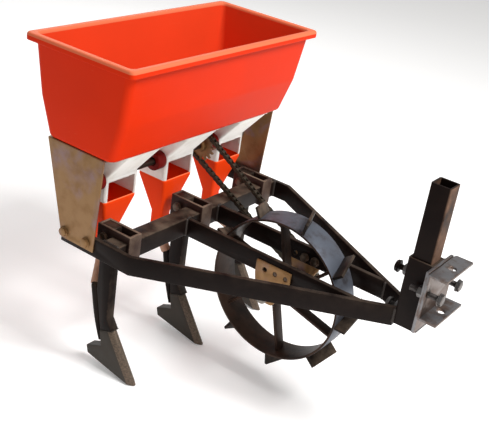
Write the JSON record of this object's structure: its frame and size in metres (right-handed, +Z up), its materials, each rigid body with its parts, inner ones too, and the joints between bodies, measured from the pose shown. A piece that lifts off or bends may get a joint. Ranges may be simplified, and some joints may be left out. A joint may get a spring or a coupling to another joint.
{
  "type": "walk-behind seed planter",
  "caption": "Seed planter hitched behind a walk-behind tractor: an open hopper feeds chain-driven metering units, funnels and hoses that sow behind furrow-opening tines.",
  "frame": {"origin": "middle of the drill's box, at the height of the share tips", "axes": "+X forward to the hitch, +Y to the left, +Z up"},
  "size_m": [0.825, 0.6, 0.689],
  "materials": {
    "hopper_plastic": "moulded, slightly glossy",
    "unit_plastic": "moulded",
    "frame_paint": "black gloss paint",
    "tine_paint": "black paint",
    "yellow_zinc": "yellow passivated zinc",
    "bright_zinc": "bright zinc",
    "wheel_paint": "black paint",
    "bare_steel": "turned",
    "chain_steel": "oiled",
    "bronze": "sintered",
    "hose": "smooth"
  },
  "bodies": {
    "frame": {"hopper": "hopper_plastic", "right_side_plate": "yellow_zinc", "left_side_plate": "yellow_zinc", "right_side_bar": "frame_paint", "left_side_bar": "frame_paint", "toolbar": "frame_paint", "right_wheel_arm": "frame_paint", "left_wheel_arm": "frame_paint", "right_axle_bracket": "yellow_zinc", "left_axle_bracket": "yellow_zinc", "axle_bushes": "bronze", "bracket_bolts": "yellow_zinc", "plate_bolts": "yellow_zinc", "hopper_bolts": "yellow_zinc", "hitch_socket": "frame_paint", "lock_nuts": "bright_zinc", "hitch_plate": "bright_zinc", "hitch_bracket": "bright_zinc", "hitch_bolts": "bright_zinc", "metering_housing_1": "unit_plastic", "metering_housing_2": "unit_plastic", "metering_housing_3": "unit_plastic", "shaft_bushes": "bronze", "cutoff_sleeves": "hopper_plastic", "seed_funnel_1": "hopper_plastic", "seed_funnel_2": "hopper_plastic", "seed_funnel_3": "hopper_plastic", "tine_clamp_1": "tine_paint", "tine_clamp_2": "tine_paint", "tine_clamp_3": "tine_paint", "clamp_screws": "yellow_zinc", "drive_chain": "chain_steel"},
    "ground_wheel": {"wheel_rim": "wheel_paint", "wheel_lugs": "wheel_paint", "wheel_spokes": "wheel_paint", "wheel_hub": "wheel_paint", "axle": "bare_steel", "axle_collars": "bare_steel", "axle_sprocket": "bare_steel"},
    "metering_shaft": {"metering_shaft": "bare_steel", "fluted_roller_1": "unit_plastic", "fluted_roller_2": "unit_plastic", "fluted_roller_3": "unit_plastic", "shaft_collars": "bare_steel", "meter_sprocket": "yellow_zinc"},
    "tine_1": {"tine_shank_1": "tine_paint", "furrow_share_1": "tine_paint", "seed_boot_1": "tine_paint", "seed_hose_1": "hose"},
    "tine_2": {"tine_shank_2": "tine_paint", "furrow_share_2": "tine_paint", "seed_boot_2": "tine_paint", "seed_hose_2": "hose"},
    "tine_3": {"tine_shank_3": "tine_paint", "furrow_share_3": "tine_paint", "seed_boot_3": "tine_paint", "seed_hose_3": "hose"},
    "hitch_post": {"hitch_post": "frame_paint"},
    "upper_lock_screw": {"upper_lock_screw": "frame_paint"},
    "lower_lock_screw": {"lower_lock_screw": "bright_zinc"}
  },
  "joints": [
    {"name": "wheel_spin", "type": "hinge", "parent": "frame", "child": "ground_wheel", "pos_m": [0.05632, 0, 0.24], "axis": [0, 1, 0], "continuous": true},
    {"name": "meter_spin", "type": "hinge", "parent": "frame", "child": "metering_shaft", "pos_m": [-0.2649, 0, 0.42], "axis": [0, 1, 0], "continuous": true},
    {"name": "post_height", "type": "slide", "parent": "frame", "child": "hitch_post", "axis": [0, 0, 1], "range_m": [-0.1, 0.05]},
    {"name": "upper_lock_turn", "type": "hinge", "parent": "frame", "child": "upper_lock_screw", "pos_m": [0.3185, 0, 0.394], "axis": [1, 0, 0], "range_deg": [0, 360]},
    {"name": "lower_lock_turn", "type": "hinge", "parent": "frame", "child": "lower_lock_screw", "pos_m": [0.3185, 0, 0.313], "axis": [1, 0, 0], "range_deg": [0, 360]},
    {"name": "tine_1_depth", "type": "slide", "parent": "frame", "child": "tine_1", "axis": [0, 0, 1], "range_m": [-0.04, 0]},
    {"name": "tine_2_depth", "type": "slide", "parent": "frame", "child": "tine_2", "axis": [0, 0, 1], "range_m": [-0.04, 0]},
    {"name": "tine_3_depth", "type": "slide", "parent": "frame", "child": "tine_3", "axis": [0, 0, 1], "range_m": [-0.04, 0]}
  ],
  "couplings": [
    {"joint": "meter_spin", "follows": "wheel_spin", "ratio": 0.75}
  ]
}
